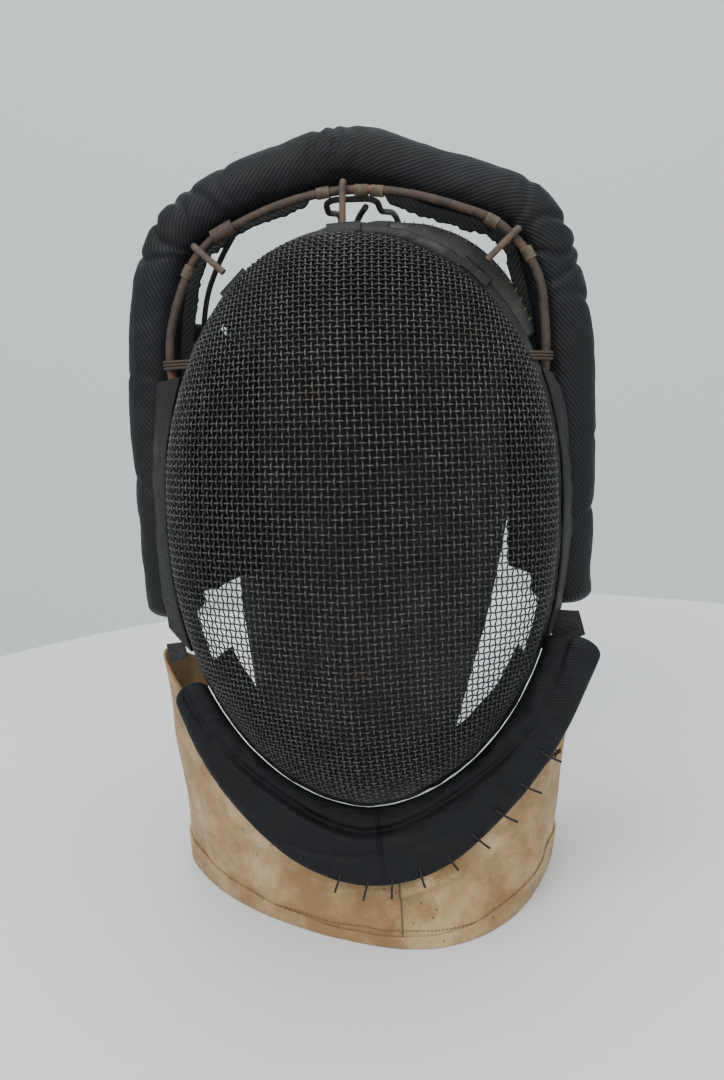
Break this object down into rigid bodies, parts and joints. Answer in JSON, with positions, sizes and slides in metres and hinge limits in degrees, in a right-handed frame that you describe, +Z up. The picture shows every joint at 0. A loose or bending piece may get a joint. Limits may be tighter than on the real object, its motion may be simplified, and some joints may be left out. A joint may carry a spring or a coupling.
{
  "type": "fencing mask",
  "caption": "Domed wire-mesh face guard with a padded cloth crown roll, a sprung padded tongue behind and a canvas neck bib it stands on.",
  "frame": {"origin": "on the surface the mask stands on, under the centre of its bounding box", "axes": "+Z up, -Y the way the face looks, +X to the wearer's left"},
  "size_m": [0.2426, 0.2701, 0.3922],
  "materials": {
    "mesh_paint": "dark grey paint, worn at the crimps of the wires",
    "frame_wire": "dark iron wire inside the binding",
    "hoop_wire": "rusted iron wire",
    "fine_wire": "tarnished fine binding wire",
    "grey_leather": "worn grey-black leather",
    "black_leather": "black leather",
    "black_twill": "black twill cloth with a faint dressed sheen",
    "black_cloth": "black cotton cloth",
    "tan_canvas": "tan twill canvas with rust stains",
    "stuffing": "horsehair and tow stuffing",
    "black_thread": "black waxed thread",
    "brown_thread": "brown linen thread"
  },
  "bodies": {
    "mask": {"face_mesh": "mesh_paint", "rim_wire": "frame_wire", "rim_binding": "grey_leather", "crown_hoop": "hoop_wire", "whipping_left": "fine_wire", "whipping_top": "fine_wire", "whipping_right": "fine_wire", "hoop_splice": "hoop_wire", "hook_left": "hoop_wire", "hook_top": "hoop_wire", "hook_right": "hoop_wire", "binding_wraps": "grey_leather", "crown_roll_cover": "black_twill", "crown_roll_stuffing": "stuffing", "side_stay_left": "hoop_wire", "side_stay_right": "hoop_wire", "crown_roll_seam": "black_twill", "cheek_strip_left": "black_leather", "cheek_strip_right": "black_leather", "brow_flap": "grey_leather", "brow_pad_cover": "black_leather", "brow_pad_stuffing": "stuffing", "collar_cover": "black_cloth", "collar_padding": "stuffing", "chin_lining": "black_cloth", "collar_tab_right": "grey_leather", "collar_tab_left": "grey_leather", "bib_left": "tan_canvas", "bib_right": "tan_canvas", "bib_hem": "tan_canvas", "collar_stitches": "black_thread", "rim_tie_left": "brown_thread", "rim_tie_right": "brown_thread"},
    "tongue": {"tongue_pad_cover": "black_leather", "tongue_pad_stuffing": "stuffing", "tongue_wire": "hoop_wire", "tongue_brace": "hoop_wire", "tongue_keepers": "grey_leather"},
    "side_panel_left": {"side_panel_left": "black_twill"},
    "side_panel_right": {"side_panel_right": "black_twill"}
  },
  "joints": [
    {"name": "tongue_flex", "type": "hinge", "parent": "mask", "child": "tongue", "pos_m": [-0.00082, 0.02444, 0.35857], "axis": [1, 0, 0], "range_deg": [-3, 14], "stiffness_Nm_per_rad": 6},
    {"name": "side_panel_left_swing", "type": "hinge", "parent": "mask", "child": "side_panel_left", "pos_m": [-0.09682, 0.01677, 0.22268], "axis": [0, 0.2924, 0.9563], "range_deg": [-5, 25], "stiffness_Nm_per_rad": 0.15},
    {"name": "side_panel_right_swing", "type": "hinge", "parent": "mask", "child": "side_panel_right", "pos_m": [0.10318, 0.01677, 0.22268], "axis": [0, -0.2924, -0.9563], "range_deg": [-5, 25], "stiffness_Nm_per_rad": 0.15}
  ]
}
